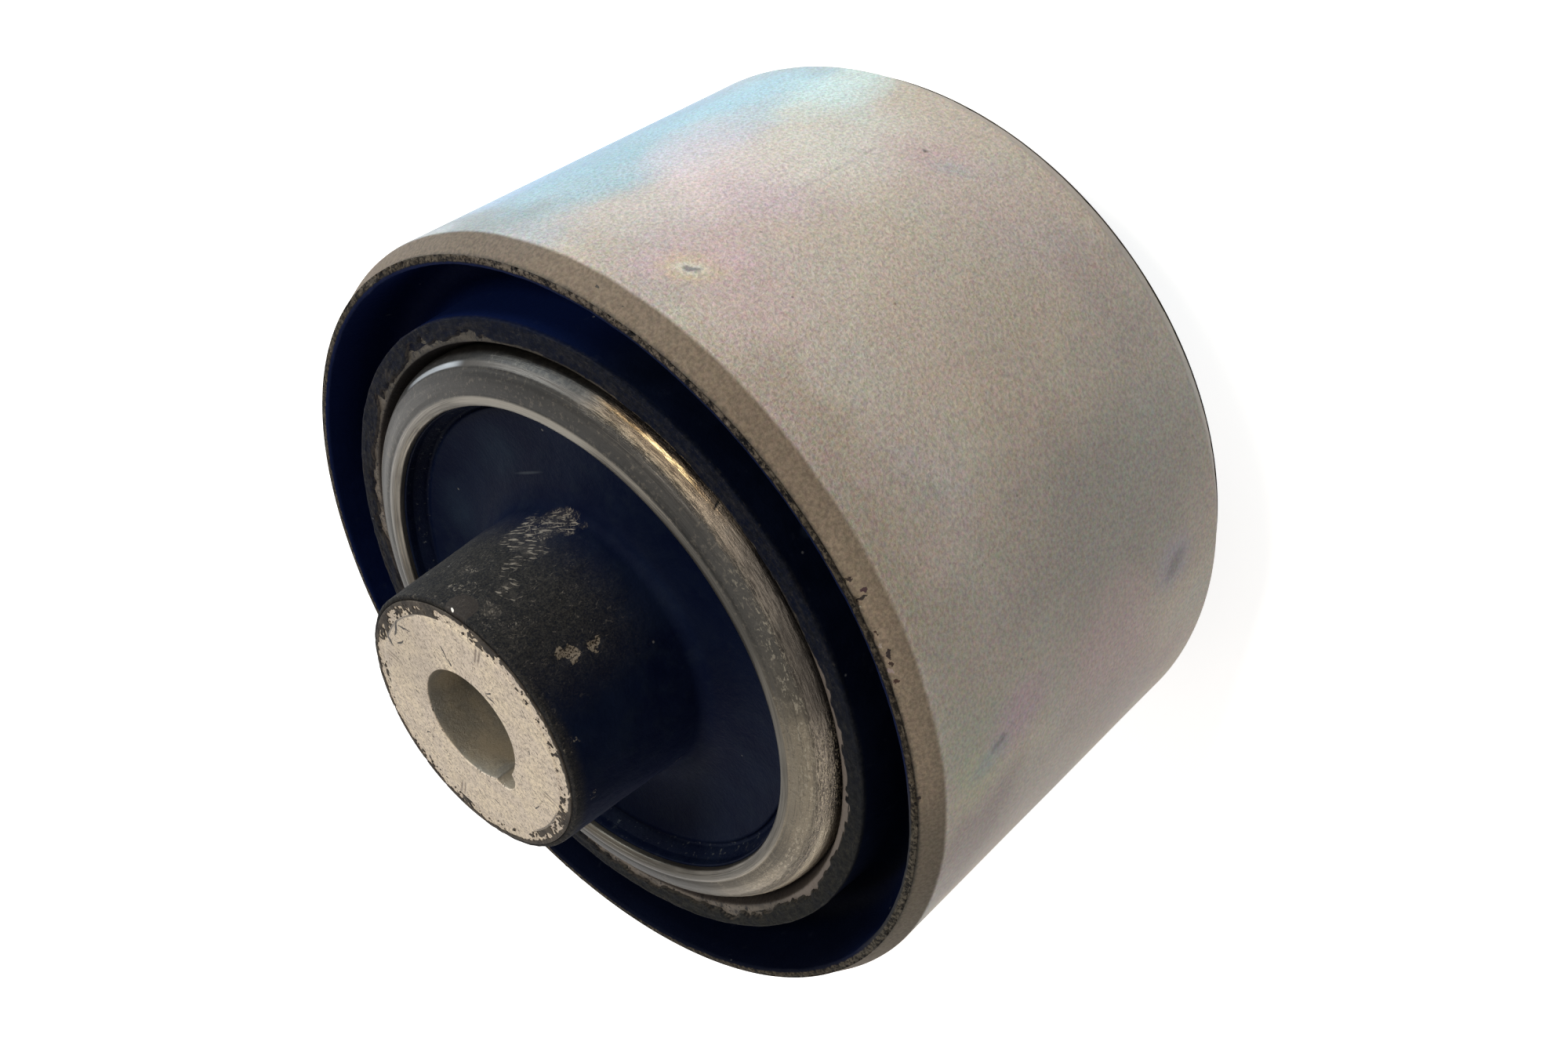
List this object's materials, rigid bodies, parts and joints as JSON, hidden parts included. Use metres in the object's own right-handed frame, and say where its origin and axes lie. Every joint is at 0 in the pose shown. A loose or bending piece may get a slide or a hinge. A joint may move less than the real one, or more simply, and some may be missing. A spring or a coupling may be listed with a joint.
{
  "type": "rubber metal bush",
  "caption": "Cylindrical rubber-to-metal mounting bush: plated steel outer sleeve, grooved rubber ring, pressed-in cartridge with rolled ends and a bored inner sleeve standing proud.",
  "frame": {"origin": "centre of the bush, on its axis, halfway along all three sleeves", "axes": "+Z along the axis towards the pictured end; +X through the index groove in the bore"},
  "size_m": [0.086, 0.086, 0.0836],
  "materials": {
    "zinc_plated_steel": "zinc plated and iridescent passivated, fine matt grain",
    "outer_rubber": "moulded natural rubber, smooth in the groove, rough film on the edges",
    "middle_steel": "dull phosphated steel under a torn rubber film",
    "bright_steel": "bright rolled steel with forming marks",
    "inner_rubber": "moulded natural rubber, scuffed on the sleeve",
    "aluminium": "sawn and blasted end faces, drawn bore"
  },
  "bodies": {
    "root": {"outer_sleeve": "zinc_plated_steel", "outer_rubber": "outer_rubber", "middle_ring": "middle_steel", "cartridge_shell": "bright_steel", "inner_rubber": "inner_rubber", "inner_sleeve": "aluminium"}
  },
  "joints": []
}
